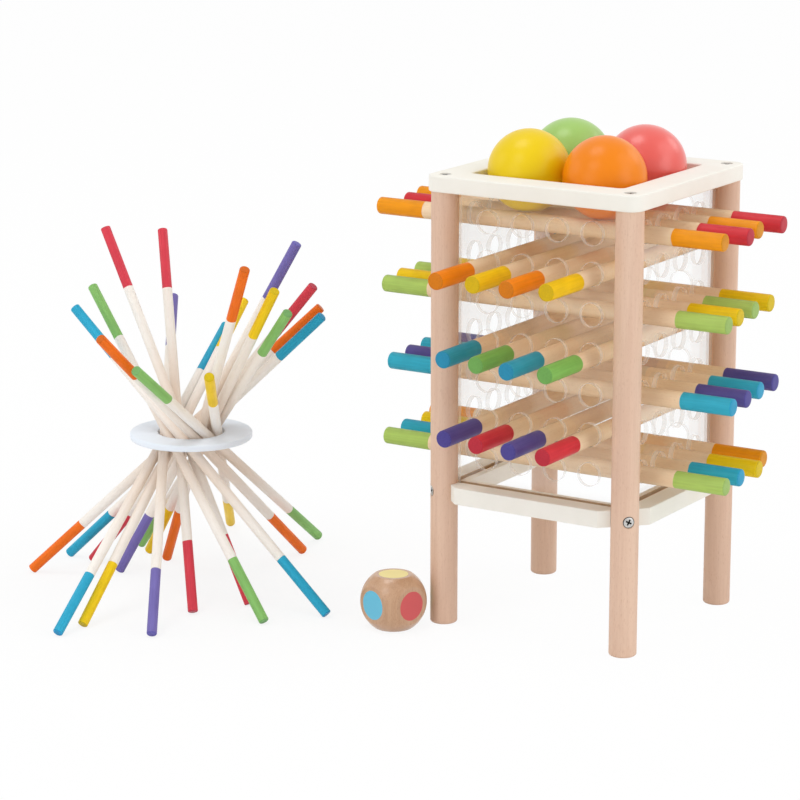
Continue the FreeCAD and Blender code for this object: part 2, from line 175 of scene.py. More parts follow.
vectorKind, colourKind, numberKind = "NodeSocketVector", "NodeSocketColor", "NodeSocketFloat"


fibre = {  # each noise: scale, and the share of it along the grain
    "broad": (140, 0.05),
    "fine": (1300, 0.03),
    "flecks": (2600, 0.14),
    "lot": (12, 0.02),  # no two pieces come from one board
    "shares": (0.65, 0.35),  # of broad and fine in the tone
    "toneRange": (0.36, 0.64),
    "depth": (0.6, 0.4),  # how much tone and lot darken the wood
    "fleckRange": (0.62, 0.72),
    "fleckTint": (0.66, 0.5, 0.4),
    "fleckSink": 0.6,
    "roughness": (0.48, 0.62),
}
evenRange = (0.3, 0.7)  # where most values of a noise lie


def makeFibreGroup():
    # beech: long soft streaks along z, fine fibres and short brown flecks
    group, given, wanted = newGroup(
        "beechFibre",
        [("Position", vectorKind), ("Pale", colourKind), ("Deep", colourKind), ("Fleck", numberKind)],
        [("Colour", colourKind), ("Height", numberKind), ("Roughness", numberKind)],
    )
    position = given["Position"]
    broad = grain(group, position, fibre["broad"], 3, 0.5, 0.6)
    fine = grain(group, position, fibre["fine"], 3, 0.6)
    flecks = grain(group, position, fibre["flecks"], 1, 0.4)
    lot = grain(group, position, fibre["lot"], 0)
    broadShare, fineShare = fibre["shares"]
    tone = ramp(group, weighted(group, broad, broadShare, fine, fineShare), *fibre["toneRange"])
    toneDepth, lotDepth = fibre["depth"]
    share = weighted(group, tone, toneDepth, ramp(group, lot, *evenRange), lotDepth)
    wood = mixColour(group, share, given["Pale"], given["Deep"])
    mark = maths(group, "MULTIPLY", ramp(group, flecks, *fibre["fleckRange"]), given["Fleck"])
    darker = mixColour(group, 1.0, wood, full(fibre["fleckTint"]), "MULTIPLY")
    join(group, mixColour(group, mark, wood, darker), wanted["Colour"])
    sunk = maths(group, "MULTIPLY", mark, fibre["fleckSink"])
    join(group, maths(group, "SUBTRACT", fine, sunk), wanted["Height"])
    join(group, ramp(group, fine, *evenRange, *fibre["roughness"]), wanted["Roughness"])
    return group


dip = {
    "wobble": (160, 0.0012),  # scale and width of the edge's straying
    "edge": 0.00025,
    "streak": (900, 0.04),
    "cloud": 90,
    "shares": (0.6, 0.4),  # of streak and cloud in how thin the paint is
    "thinRange": (0.35, 0.65),
    "deepTint": (0.87, 0.86, 0.87),
    "roughness": (0.34, 0.46),
}


def makePaintGroup():
    # thin translucent paint that stops at two heights of the stick; some fibre shows through
    group, given, wanted = newGroup(
        "dippedPaint",
        [
            ("Position", vectorKind),
            ("Wood", colourKind),
            ("Paint", colourKind),
            ("FootEdge", numberKind),
            ("HeadEdge", numberKind),
        ],
        [("Colour", colourKind), ("Mask", numberKind), ("Roughness", numberKind)],
    )
    position = given["Position"]
    height = maths(group, "ADD", split(group, position)["Z"], wander(group, position, dip["wobble"], 1))
    foot = maths(group, "DIVIDE", maths(group, "SUBTRACT", given["FootEdge"], height), dip["edge"], True)
    head = maths(group, "DIVIDE", maths(group, "SUBTRACT", height, given["HeadEdge"]), dip["edge"], True)
    mask = maths(group, "MAXIMUM", foot, head)
    streak = grain(group, position, dip["streak"], 3, 0.6)
    cloud = noise(group, position, dip["cloud"], 2)
    streakShare, cloudShare = dip["shares"]
    thin = weighted(group, streak, streakShare, cloud, cloudShare)
    deep = mixColour(group, 1.0, given["Paint"], full(dip["deepTint"]), "MULTIPLY")
    film = mixColour(group, ramp(group, thin, *dip["thinRange"]), given["Paint"], deep)
    join(group, mixColour(group, mask, given["Wood"], film), wanted["Colour"])
    join(group, mask, wanted["Mask"])
    join(group, ramp(group, cloud, *evenRange, *dip["roughness"]), wanted["Roughness"])
    return group


handling = {
    "cloud": 55,
    "grain": 2400,
    "dulledRange": (0.35, 0.75),
    "dulledTint": (0.975, 0.972, 0.965),
}


def makeHandledGroup():
    # faint unevenness that spraying and handling leave on a painted surface
    group, given, wanted = newGroup(
        "handledFilm",
        [
            ("Position", vectorKind),
            ("Colour", colourKind),
            ("Smooth", numberKind),
            ("Rough", numberKind),
        ],
        [("Colour", colourKind), ("Roughness", numberKind), ("Height", numberKind)],
    )
    position = given["Position"]
    cloud = noise(group, position, handling["cloud"], 3, 0.55)
    dulled = mixColour(group, 1.0, given["Colour"], full(handling["dulledTint"]), "MULTIPLY")
    where = ramp(group, cloud, *handling["dulledRange"])
    join(group, mixColour(group, where, given["Colour"], dulled), wanted["Colour"])
    spread = maths(group, "SUBTRACT", given["Rough"], given["Smooth"])
    rougher = maths(group, "MULTIPLY", ramp(group, cloud, *evenRange), spread)
    join(group, maths(group, "ADD", given["Smooth"], rougher), wanted["Roughness"])
    join(group, noise(group, position, handling["grain"], 2, 0.5), wanted["Height"])
    return group


stamp = {
    "wobble": (300, 0.0003),
    "edge": 0.00012,
}


def makeDiscGroup():
    # a round patch of paint on the side of a block that faces along Way
    group, given, wanted = newGroup(
        "printedDisc",
        [
            ("Position", vectorKind),
            ("Way", vectorKind),
            ("Radius", numberKind),
            ("Face", numberKind),
            ("Under", colourKind),
            ("Paint", colourKind),
            ("Printed", numberKind),
        ],
        [("Colour", colourKind), ("Mask", numberKind)],
    )
    position = given["Position"]
    dot = addNode(group, "ShaderNodeVectorMath", operation="DOT_PRODUCT")
    join(group, position, dot.inputs[0])
    join(group, given["Way"], dot.inputs[1])
    along = dot.outputs["Value"]
    length = addNode(group, "ShaderNodeVectorMath", operation="LENGTH")
    join(group, position, length.inputs[0])
    square = maths(group, "MULTIPLY", length.outputs["Value"], length.outputs["Value"])
    aheadSquare = maths(group, "MULTIPLY", along, along)
    beside = maths(group, "SQRT", maths(group, "SUBTRACT", square, aheadSquare))
    reach = maths(group, "ADD", beside, wander(group, position, stamp["wobble"], 2))
    disc = maths(group, "DIVIDE", maths(group, "SUBTRACT", given["Radius"], reach), stamp["edge"], True)
    mask = maths(group, "MULTIPLY", disc, maths(group, "GREATER_THAN", along, given["Face"]))
    join(group, mixColour(group, mask, given["Under"], given["Paint"]), wanted["Colour"])
    join(group, maths(group, "MAXIMUM", mask, given["Printed"]), wanted["Mask"])
    return group


beechFibre = makeFibreGroup()
dippedPaint = makePaintGroup()
handledFilm = makeHandledGroup()
printedDisc = makeDiscGroup()


def useGroup(tree, group, values, **links):
    node = addNode(tree, "ShaderNodeGroup", values, node_tree=group)
    for socket, source in links.items():
        join(tree, source, node.inputs[socket])
    return node.outputs


def woodOn(tree, wood, position):
    values = {"Pale": full(wood["pale"]), "Deep": full(wood["deep"]), "Fleck": wood["fleck"]}
    return useGroup(tree, beechFibre, values, Position=position)


def filmOn(tree, colour, film, position):
    smoothest, roughest = film
    values = {"Colour": full(colour), "Smooth": smoothest, "Rough": roughest}
    return useGroup(tree, handledFilm, values, Position=position)


def newFinish(name, **shine):
    material = bpy.data.materials.new(name)
    material.use_nodes = True
    tree = material.node_tree
    tree.nodes.clear()
    shader = tree.nodes.new("ShaderNodeBsdfPrincipled")
    output = tree.nodes.new("ShaderNodeOutputMaterial")
    join(tree, shader.outputs[0], output.inputs["Surface"])
    for socket, value in shine.items():
        shader.inputs[socket.replace("_", " ")].default_value = value
    return material, tree, shader


def blendShaders(tree, factor, first, second, output):
    blend = tree.nodes.new("ShaderNodeMixShader")
    for source, socket in zip((factor, first, second), blend.inputs):
        join(tree, source, socket)
    join(tree, blend.outputs[0], output)


def roughen(tree, shader, height, strength, distance):
    # each "relief" in the settings holds the strength and the distance
    bump = addNode(tree, "ShaderNodeBump", {"Strength": strength, "Distance": distance})
    join(tree, height, bump.inputs["Height"])
    join(tree, bump.outputs[0], shader.inputs["Normal"])


def objectPosition(tree):
    return addNode(tree, "ShaderNodeTexCoord").outputs["Object"]


def ownPosition(tree):
    # the place on the piece as it was before it was set down, so that the grain follows it
    return addNode(tree, "ShaderNodeAttribute", attribute_name="grainSpace").outputs["Vector"]


def clearSelection():
    if bpy.context.object and bpy.context.object.mode != "OBJECT":
        bpy.ops.object.mode_set(mode="OBJECT")
    bpy.ops.object.select_all(action="DESELECT")


def takeUp(piece):
    clearSelection()
    piece.select_set(True)
    bpy.context.view_layer.objects.active = piece


hair = 1e-5  # shorter than any edge
facing = 0.999  # a face looks along an axis when this much of its normal lies along it
up = Vector((0, 0, 1))


def startEdit(piece, mode="FACE"):
    takeUp(piece)
    bpy.ops.object.mode_set(mode="EDIT")
    bpy.ops.mesh.select_mode(type=mode)
    bpy.ops.mesh.select_all(action="DESELECT")


def chooseFaces(piece, wanted):
    mesh = bmesh.from_edit_mesh(piece.data)
    mesh.normal_update()
    bpy.ops.mesh.select_all(action="DESELECT")
    for face in mesh.faces:
        face.select = wanted(face)
    bmesh.update_edit_mesh(piece.data)


def chooseEdges(piece, wanted):
    mesh = bmesh.from_edit_mesh(piece.data)
    bpy.ops.mesh.select_mode(type="EDGE")
    bpy.ops.mesh.select_all(action="DESELECT")
    for edge in mesh.edges:
        edge.select = wanted(edge)
    bmesh.update_edit_mesh(piece.data)


def endEdit():
    bpy.ops.object.mode_set(mode="OBJECT")


def smooth(piece, degrees):
    takeUp(piece)
    bpy.ops.object.shade_smooth_by_angle(angle=math.radians(degrees))


def named(name):
    piece = bpy.context.object
    piece.name = name
    piece.data.name = name
    return piece


def applyPlace(piece):
    takeUp(piece)
    bpy.ops.object.transform_apply(location=True, rotation=True, scale=True)


def keepGrainSpace(piece, shift=(0.0, 0.0, 0.0)):
    # remembers where each point is now, moved aside so that no two pieces have the same grain
    attributes = piece.data.attributes
    space = attributes.get("grainSpace") or attributes.new("grainSpace", "FLOAT_VECTOR", "POINT")
    places = []
    for vertex in piece.data.vertices:
        places.extend(vertex.co + Vector(shift))
    space.data.foreach_set("vector", places)


def copyOf(model, name):
    piece = model.copy()
    piece.data = model.data.copy()
    piece.name = name
    piece.data.name = name
    bpy.context.scene.collection.objects.link(piece)
    return piece


def discard(model):
    bpy.data.objects.remove(model)


def paintWith(piece, *materials):
    for index, material in enumerate(materials):
        if index < len(piece.data.materials):
            piece.data.materials[index] = material
        else:
            piece.data.materials.append(material)


def middle(node):
    low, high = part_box(node)
    return (low + high) / 2


def turnTo(way):
    # lays along another way what stands upright
    return up.rotation_difference(way).to_matrix().to_4x4()


def anyRoll():
    return Matrix.Rotation(dice.uniform(0, math.tau), 4, "Z")


thickPaint = {
    "red": (0.700, 0.035, 0.050),
    "orange": (0.930, 0.250, 0.004),
    "yellow": (0.940, 0.580, 0.004),
    "green": (0.225, 0.500, 0.098),
    "blue": (0.030, 0.345, 0.470),
    "purple": (0.108, 0.080, 0.300),
}
# painted light: the paints of the rows from left to right are mostly lighter copies of thickPaint,
# standing in for the stronger light and sheen those sticks catch
litCrossPaint = {
    "red": (0.700, 0.038, 0.052),
    "orange": (0.940, 0.345, 0.006),
    "yellow": (0.960, 0.650, 0.006),
    "green": (0.460, 0.650, 0.145),
    "blue": (0.036, 0.440, 0.600),
    "purple": (0.108, 0.085, 0.310),
}
thinPaint = {
    "red": (0.760, 0.058, 0.088),
    "orange": (0.950, 0.180, 0.010),
    "yellow": (0.970, 0.660, 0.008),
    "green": (0.270, 0.570, 0.160),
    "blue": (0.028, 0.430, 0.660),
    "purple": (0.200, 0.165, 0.480),
}


thickStick = {
    "sides": 48,
    "diameter": 0.010,
    "length": 0.225,
    "endRound": 0.0009,
    "footPaint": 0.035,
    "headPaint": 0.035,
    "pale": (0.96, 0.75, 0.52),
    "deep": (0.87, 0.63, 0.40),
    "fleck": 0.25,
    "middleShade": (1.0, 1.0, 1.0),
}
crossStick = dict(thickStick, footPaint=0.0315, headPaint=0.0315)  # the rows from left to right
thinStick = {
    "sides": 40,
    "diameter": 0.006,
    "length": 0.247,
    "endRound": 0.0007,
    "footPaint": 0.044,
    "headPaint": 0.040,
    "pale": (0.98, 0.945, 0.895),
    "deep": (0.95, 0.875, 0.795),
    "fleck": 0.15,
    "middleShade": (0.92, 0.83, 0.76),  # painted shade: the bare wood is tinted warmer and darker in the middle, where the bundled sticks shade one another
}
stickDetail = {  # what the three kinds of stick share
    "dishInset": 0.22,  # of the diameter
    "dishDepth": 0.00004,
    "smoothAngle": 32,
    "grainShift": 4.0,
    "coatRoughness": 0.34,
    "specular": 0.14,
    "coatWeight": 0.10,
    "middleShadeReach": (0.005, 0.06),  # from the middle of the stick: where the painted shade is full, and where it ends
    "endReach": (0.0006, 0.0002),  # from its end
    "endTint": (0.74, 0.79, 0.95),  # end grain drinks more paint
    "fibreHeight": 0.00002,
    "paintHeight": 0.0002,
    "relief": (0.5, 1.0),  # a distance of 1, because both heights are in metres
}
stickColours = [
    "orange red orange red",
    "orange yellow orange yellow",
    "green yellow green yellow",
    "blue green blue green",
    "blue purple blue purple",
    "purple red purple red",
    "green blue yellow orange",
]


def turnStick(name, stick):
    # a dowel along z: rounded ends, and a ring of edges where each coat of paint stops
    clearSelection()
    bpy.ops.mesh.primitive_cylinder_add(
        vertices=stick["sides"],
        radius=stick["diameter"] / 2,
        depth=stick["length"],
        end_fill_type="NGON",
    )
    piece = named(name)
    half = stick["length"] / 2
    startEdit(piece, "EDGE")
    chooseEdges(piece, lambda edge: all(abs(v.co.z) > half - hair for v in edge.verts))
    bpy.ops.mesh.bevel(offset=stick["endRound"], segments=4, profile=0.5, affect="EDGES")
    for height in (stick["footPaint"] - half, 0.0, half - stick["headPaint"]):
        bpy.ops.mesh.select_all(action="SELECT")
        bpy.ops.mesh.bisect(plane_co=(0, 0, height), plane_no=(0, 0, 1))
    bpy.ops.mesh.select_mode(type="FACE")
    chooseFaces(piece, lambda face: abs(face.normal.z) > facing)
    bpy.ops.mesh.inset(
        thickness=stick["diameter"] * stickDetail["dishInset"], depth=-stickDetail["dishDepth"]
    )
    endEdit()
    smooth(piece, stickDetail["smoothAngle"])
    return piece


def stickFinish(name, stick, paint):
    material, tree, shader = newFinish(
        name,
        Coat_Roughness=stickDetail["coatRoughness"],
        Specular_IOR_Level=stickDetail["specular"],
    )
    position = ownPosition(tree)
    half = stick["length"] / 2
    wood = woodOn(tree, stick, position)
    fromMiddle = maths(tree, "ABSOLUTE", split(tree, position)["Z"])
    # painted shade: towards the middle of the stick the bare wood is multiplied by a warmer, darker tint
    middleShade = ramp(tree, fromMiddle, *stickDetail["middleShadeReach"], 1.0, 0.0)
    middleShaded = mixColour(tree, middleShade, wood["Colour"], full(stick["middleShade"]), "MULTIPLY")
    edges = {
        "Paint": full(paint),
        "FootEdge": stick["footPaint"] - half,
        "HeadEdge": half - stick["headPaint"],
    }
    coat = useGroup(tree, dippedPaint, edges, Position=position, Wood=middleShaded)
    endStart, endFull = stickDetail["endReach"]
    endGrain = ramp(tree, fromMiddle, half - endStart, half - endFull)
    colour = mixColour(tree, endGrain, coat["Colour"], full(stickDetail["endTint"]), "MULTIPLY")
    join(tree, colour, shader.inputs["Base Color"])
    gloss = addNode(tree, "ShaderNodeMix", data_type="FLOAT")
    join(tree, coat["Mask"], gloss.inputs[0])
    join(tree, wood["Roughness"], gloss.inputs[2])
    join(tree, coat["Roughness"], gloss.inputs[3])
    join(tree, gloss.outputs[0], shader.inputs["Roughness"])
    lacquer = maths(tree, "MULTIPLY", coat["Mask"], stickDetail["coatWeight"])
    join(tree, lacquer, shader.inputs["Coat Weight"])
    fibreHeight, paintHeight = stickDetail["fibreHeight"], stickDetail["paintHeight"]
    relief = weighted(tree, wood["Height"], fibreHeight, coat["Mask"], paintHeight)
    roughen(tree, shader, relief, *stickDetail["relief"])
    return material


def layStick(model, name, along, material):
    piece = copyOf(model, name + "_dowel")
    shift = stickDetail["grainShift"]
    keepGrainSpace(piece, (dice.uniform(-shift, shift), dice.uniform(-shift, shift), 0.0))
    piece.data.transform(Matrix.Translation(middle(name)) @ turnTo(along) @ anyRoll())
    paintWith(piece, material)
    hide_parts(name)
    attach(piece, name)
    return piece


def stickFinishes(name, stick, paints):
    return {colour: stickFinish(f"{name}_{colour}", stick, paint) for colour, paint in paints.items()}


thickModel = turnStick("thickModel", thickStick)
crossModel = turnStick("crossModel", crossStick)
thinModel = turnStick("thinModel", thinStick)
thickFinishes = stickFinishes("thickStick", thickStick, thickPaint)
litCrossFinishes = stickFinishes("crossStick", crossStick, litCrossPaint)
thinFinishes = stickFinishes("thinStick", thinStick, thinPaint)
for joint in frame["joints"]:
    name = joint["child"]
    along = Vector(joint["axis"]).normalized()
    if name.startswith("row"):
        row, column = int(name[3]), int(name[-1])
        colour = stickColours[row - 1].split()[column - 1]
        # odd rows run from left to right and take the lighter paints, which are painted light
        model, finishes = (crossModel, litCrossFinishes) if row % 2 else (thickModel, thickFinishes)
        layStick(model, name, along, finishes[colour])
    elif name.startswith("thin_stick"):
        colour = name.split("_")[2]
        layStick(thinModel, name, along, thinFinishes[colour])
for model in (thickModel, crossModel, thinModel):
    discard(model)
print("sticks laid")


ball = {
    "segments": 72,
    "rings": 48,
    "flat": 0.0014,  # radius of the small flats that the lathe leaves
    "smoothAngle": 40,
    "clearance": 0.00002,
    "tilt": (50, 80),  # degrees from upright
    "grainShift": 4.0,
    "coatRoughness": 0.28,
    "specular": 0.1,
    "film": (0.34, 0.42),
    "relief": (0.25, 0.00002),
    "colours": {  # and how much clear lacquer shows on it
        "yellow": ((0.84, 0.600, 0.004), 0.3),
        "orange": ((0.87, 0.235, 0.002), 0.35),
        "green": ((0.350, 0.580, 0.140), 0.6),
        "red": ((0.80, 0.110, 0.090), 1.0),
    },
}


def turnBall(radius):
    clearSelection()
    bpy.ops.mesh.primitive_uv_sphere_add(
        segments=ball["segments"], ring_count=ball["rings"], radius=radius
    )
    piece = named("ballModel")
    cut = math.sqrt(radius ** 2 - ball["flat"] ** 2)
    startEdit(piece)
    for side in (-1, 1):
        bpy.ops.mesh.select_all(action="SELECT")
        bpy.ops.mesh.bisect(
            plane_co=(0, 0, side * cut), plane_no=(0, 0, side), use_fill=True, clear_outer=True
        )
    endEdit()
    smooth(piece, ball["smoothAngle"])
    return piece


def ballFinish(name, colour, lacquer):
    material, tree, shader = newFinish(
        name,
        Coat_Weight=lacquer,
        Coat_Roughness=ball["coatRoughness"],
        Specular_IOR_Level=ball["specular"],
    )
    film = filmOn(tree, colour, ball["film"], ownPosition(tree))
    join(tree, film["Colour"], shader.inputs["Base Color"])
    join(tree, film["Roughness"], shader.inputs["Roughness"])
    roughen(tree, shader, film["Height"], *ball["relief"])
    return material


low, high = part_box("ball_yellow")
ballModel = turnBall((high.z - low.z) / 2 - ball["clearance"])
for colour, (shade, lacquer) in ball["colours"].items():
    piece = copyOf(ballModel, "lacquered_ball_" + colour)
    keepGrainSpace(piece, (dice.uniform(-ball["grainShift"], ball["grainShift"]), 0, 0))
    tilt = Matrix.Rotation(math.radians(dice.uniform(*ball["tilt"])), 4, "X")
    node = "ball_" + colour
    piece.data.transform(Matrix.Translation(middle(node)) @ anyRoll() @ tilt)
    paintWith(piece, ballFinish("ballLacquer_" + colour, shade, lacquer))
    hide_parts(node)
    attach(piece, node)
discard(ballModel)
print("balls lacquered")


die = {
    "size": 0.032,
    "roundness": 0.039,
    "sides": 96,
    "rim": 0.0012,  # how far the edge of each flat is eased
    "rimSteps": 4,
    "border": 0.0004,  # of the flat, outside its first ring
    "sideAngle": 43.0,  # degrees from the middle of a side, where its rings end
    "spread": (0.35, 0.7, 1.0),  # the rows from there to the edges between the sides
    "smoothAngle": 28,
    "discRadius": 0.0087,
    "discDepth": 0.001,  # the paint takes no notice of anything deeper
    "turn": -17.0,
    "pale": (0.62, 0.385, 0.235),
    "deep": (0.48, 0.265, 0.140),
    "fleck": 0.5,
    "roughness": (0.42, 0.5),  # of wood and of paint, and the same for the coat
    "coat": (0.6, 0.35),
    "coatRoughness": 0.18,
    "printHeight": 1.5,  # against the height of the fibres
    "relief": (0.3, 0.00003),
    "discs": [  # colour, the way it faces on the unturned die, paint
        ("yellow", (0, 0, 1), (0.90, 0.76, 0.26)),
        ("blue", (0, -1, 0), (0.110, 0.500, 0.700)),
        ("red", (1, 0, 0), (0.640, 0.075, 0.080)),
        ("green", (0, 1, 0), (0.280, 0.520, 0.130)),
        ("orange", (-1, 0, 0), (0.870, 0.300, 0.050)),
        ("purple", (0, 0, -1), (0.180, 0.120, 0.380)),
    ],
}


def turnDieSide():
    # one side, worked outwards ring by ring: the flat, its eased rim, the ball as far as the next sides
    half, ballRadius, rim = die["size"] / 2, die["roundness"] / 2, die["rim"]
    flat = math.sqrt((ballRadius - rim) ** 2 - (half - rim) ** 2)
    rimEnd = math.atan2(flat, half - rim)
    rings = [(flat, half)]
    for step in range(1, die["rimSteps"] + 1):
        angle = rimEnd * step / die["rimSteps"]
        rings.append((flat + rim * math.sin(angle), half - rim + rim * math.cos(angle)))
    lastAngle = math.radians(die["sideAngle"])
    for angle in ((rimEnd + lastAngle) / 2, lastAngle):
        rings.append((ballRadius * math.sin(angle), ballRadius * math.cos(angle)))
    radius, height = flat - die["border"], half
    clearSelection()
    bpy.ops.mesh.primitive_circle_add(
        vertices=die["sides"], radius=radius, fill_type="NGON", location=(0, 0, height)
    )
    piece = named("varnished_die")
    applyPlace(piece)
    startEdit(piece, "EDGE")
    chooseEdges(piece, lambda edge: edge.is_boundary)
    for nextRadius, nextHeight in rings:
        bpy.ops.mesh.extrude_region_move(TRANSFORM_OT_translate={"value": (0, 0, nextHeight - height)})
        bpy.ops.transform.resize(value=(nextRadius / radius, nextRadius / radius, 1))
        radius, height = nextRadius, nextHeight
    for share in die["spread"]:
        bpy.ops.mesh.extrude_region_move()
        mesh = bmesh.from_edit_mesh(piece.data)
        for vertex in mesh.verts:
            if vertex.select:
                across = Vector((vertex.co.x, vertex.co.y, 0)).normalized()
                ringWay = across * math.sin(lastAngle) + up * math.cos(lastAngle)
                edgeWay = (across / max(abs(across.x), abs(across.y)) + up).normalized()
                vertex.co = ringWay.lerp(edgeWay, share).normalized() * ballRadius
        bmesh.update_edit_mesh(piece.data)
    endEdit()
    return piece


def shapeDie():
    piece = turnDieSide()
    others = []
    for colour, way, _ in die["discs"][1:]:
        side = copyOf(piece, "dieSide_" + colour)
        side.data.transform(turnTo(Vector(way)))
        others.append(side)
    takeUp(piece)
    for side in others:
        side.select_set(True)
    bpy.ops.object.join()
    startEdit(piece)
    bpy.ops.mesh.select_all(action="SELECT")
    bpy.ops.mesh.remove_doubles(threshold=hair)
    bpy.ops.mesh.normals_make_consistent(inside=False)
    endEdit()
    smooth(piece, die["smoothAngle"])
    return piece


def dieFinish():
    material, tree, shader = newFinish("varnishedDie", Coat_Roughness=die["coatRoughness"])
    position = ownPosition(tree)
    wood = woodOn(tree, die, position)
    colour, printed = wood["Colour"], None
    for _, way, paint in die["discs"]:
        values = {
            "Way": way,
            "Radius": die["discRadius"],
            "Face": die["size"] / 2 - die["discDepth"],
            "Paint": full(paint),
        }
        links = {"Position": position, "Under": colour}
        if printed:
            links["Printed"] = printed
        disc = useGroup(tree, printedDisc, values, **links)
        colour, printed = disc["Colour"], disc["Mask"]
    join(tree, colour, shader.inputs["Base Color"])
    join(tree, ramp(tree, printed, 0.0, 1.0, *die["roughness"]), shader.inputs["Roughness"])
    join(tree, ramp(tree, printed, 0.0, 1.0, *die["coat"]), shader.inputs["Coat Weight"])
    relief = weighted(tree, wood["Height"], 1.0, printed, die["printHeight"])
    roughen(tree, shader, relief, *die["relief"])
    return material


dieModel = shapeDie()
keepGrainSpace(dieModel)
dieModel.data.transform(
    Matrix.Translation(middle("die")) @ Matrix.Rotation(math.radians(die["turn"]), 4, "Z")
)
paintWith(dieModel, dieFinish())
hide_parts("die")
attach(dieModel, "die")
print("die varnished")


ring = {
    "sides": 128,
    "band": 0.017,  # from the rim to the bore
    "edge": 0.0009,
    "smoothAngle": 30,
    "colour": (0.83, 0.89, 0.97),
    "specular": 0.45,
    "coat": 0.1,
    "film": (0.42, 0.55),
    "relief": (0.3, 0.00002),
}


def shapeRing():
    low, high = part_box("ring")
    clearSelection()
    bpy.ops.mesh.primitive_cylinder_add(
        vertices=ring["sides"],
        radius=(high.x - low.x) / 2,
        depth=high.z - low.z,
        location=middle("ring"),
        end_fill_type="NGON",
    )
    piece = named("gathering_ring")
    applyPlace(piece)
    startEdit(piece)
    chooseFaces(piece, lambda face: abs(face.normal.z) > facing)
    bpy.ops.mesh.inset(thickness=ring["band"], use_individual=True)
    bpy.ops.mesh.bridge_edge_loops()
    chooseEdges(
        piece,
        lambda edge: abs(edge.verts[0].co.z - edge.verts[1].co.z) < hair
        and len({round(face.normal.z) for face in edge.link_faces}) == 2,
    )
    bpy.ops.mesh.bevel(offset=ring["edge"], segments=4, profile=0.5, affect="EDGES")
    bpy.ops.mesh.select_all(action="SELECT")
    bpy.ops.mesh.normals_make_consistent(inside=False)
    endEdit()
    smooth(piece, ring["smoothAngle"])
    return piece


def ringFinish():
    material, tree, shader = newFinish(
        "paleRing", Specular_IOR_Level=ring["specular"], Coat_Weight=ring["coat"]
    )
    film = filmOn(tree, ring["colour"], ring["film"], objectPosition(tree))
    join(tree, film["Colour"], shader.inputs["Base Color"])
    join(tree, film["Roughness"], shader.inputs["Roughness"])
    roughen(tree, shader, film["Height"], *ring["relief"])
    return material


ringPiece = shapeRing()
paintWith(ringPiece, ringFinish())
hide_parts("ring")
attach(ringPiece, "ring")
print("ring shaped")


screw = {
    "sides": 48,
    "head": 0.0065,  # across, as the shank
    "headHeight": 0.0022,
    "shank": 0.003,
    "length": 0.0218,
    "point": 0.0025,
    "tip": 0.08,  # of the shank
    "sink": 0.0005,
    "chamfer": 0.0003,
    "recess": 0.0023,  # half length of each arm of the cross
    "arm": 0.0012,
    "deep": 0.0019,
    "taper": 0.6,  # the bottom of the recess against its mouth
    "smoothAngle": 30,
    "steel": (0.66, 0.65, 0.63),
    "paintedShade": (0.055, 0.050, 0.045),  # painted shade: near-black steel for the cross recess and the rim chamfer, where shade falls
    "tarnish": 900,
    "tarnishRange": (0.4, 0.7),
    "tarnishTint": 0.72,
    "roughness": (0.28, 0.42),
    "scratches": 4000,
    "relief": (0.3, 0.00002),
}


def shapeScrew():
    clearSelection()
    rim = screw["head"] - 2 * screw["chamfer"]
    bpy.ops.mesh.primitive_circle_add(vertices=screw["sides"], radius=rim / 2, fill_type="NGON")
    piece = named("screwModel")
    startEdit(piece)
    bpy.ops.mesh.select_all(action="SELECT")
    for drop, widthBefore, widthAfter in (
        (screw["chamfer"] / 2, rim, screw["head"]),
        (screw["headHeight"] - screw["chamfer"] / 2, screw["head"], screw["shank"]),
        (screw["length"] - screw["headHeight"] - screw["point"], screw["shank"], screw["shank"]),
        (screw["point"], screw["shank"], screw["shank"] * screw["tip"]),
    ):
        bpy.ops.mesh.extrude_region_move(TRANSFORM_OT_translate={"value": (0, 0, -drop)})
        shrink = widthAfter / widthBefore
        bpy.ops.transform.resize(value=(shrink, shrink, 1))
    bpy.ops.mesh.select_all(action="SELECT")
    bpy.ops.mesh.normals_make_consistent(inside=False)
    endEdit()
    cutters = []
    for turn in (0, 90):
        clearSelection()
        bpy.ops.mesh.primitive_cube_add(size=1)
        cutter = named("recessCutter")
        cutter.scale = (screw["recess"] * 2, screw["arm"], screw["deep"] * 2)
        cutter.rotation_euler.z = math.radians(turn)
        applyPlace(cutter)
        startEdit(cutter)
        chooseFaces(cutter, lambda face: face.normal.z < -facing)
        bpy.ops.transform.resize(value=(screw["taper"], screw["taper"], 1))
        endEdit()
        cutters.append(cutter)
    for cutter in cutters:
        takeUp(piece)
        cut = piece.modifiers.new("recess", "BOOLEAN")
        cut.object = cutter
        cut.operation = "DIFFERENCE"
        cut.solver = "EXACT"
        bpy.ops.object.modifier_apply(modifier=cut.name)
        discard(cutter)
    # painted shade: the faces in the cross recess and on the head's rim chamfer take the dark second
    # finish
    allowance = 1.05
    for face in piece.data.polygons:
        reach, drop = face.center.xy.length, -face.center.z
        inRecess = reach < screw["recess"] * allowance and hair < drop < screw["deep"] * allowance
        onChamfer = reach > rim / 2 and drop < screw["chamfer"] / 2
        face.material_index = 1 if inRecess or onChamfer else 0
    smooth(piece, screw["smoothAngle"])
    return piece


def screwFinish(name, colour):
    material, tree, shader = newFinish(name, Metallic=1.0)
    position = ownPosition(tree)
    tarnish = noise(tree, position, screw["tarnish"], 3)
    dark = tuple(part * screw["tarnishTint"] for part in colour)
    shade = mixColour(tree, ramp(tree, tarnish, *screw["tarnishRange"]), full(colour), full(dark))
    join(tree, shade, shader.inputs["Base Color"])
    join(tree, ramp(tree, tarnish, *evenRange, *screw["roughness"]), shader.inputs["Roughness"])
    roughen(tree, shader, noise(tree, position, screw["scratches"], 2), *screw["relief"])
    return material


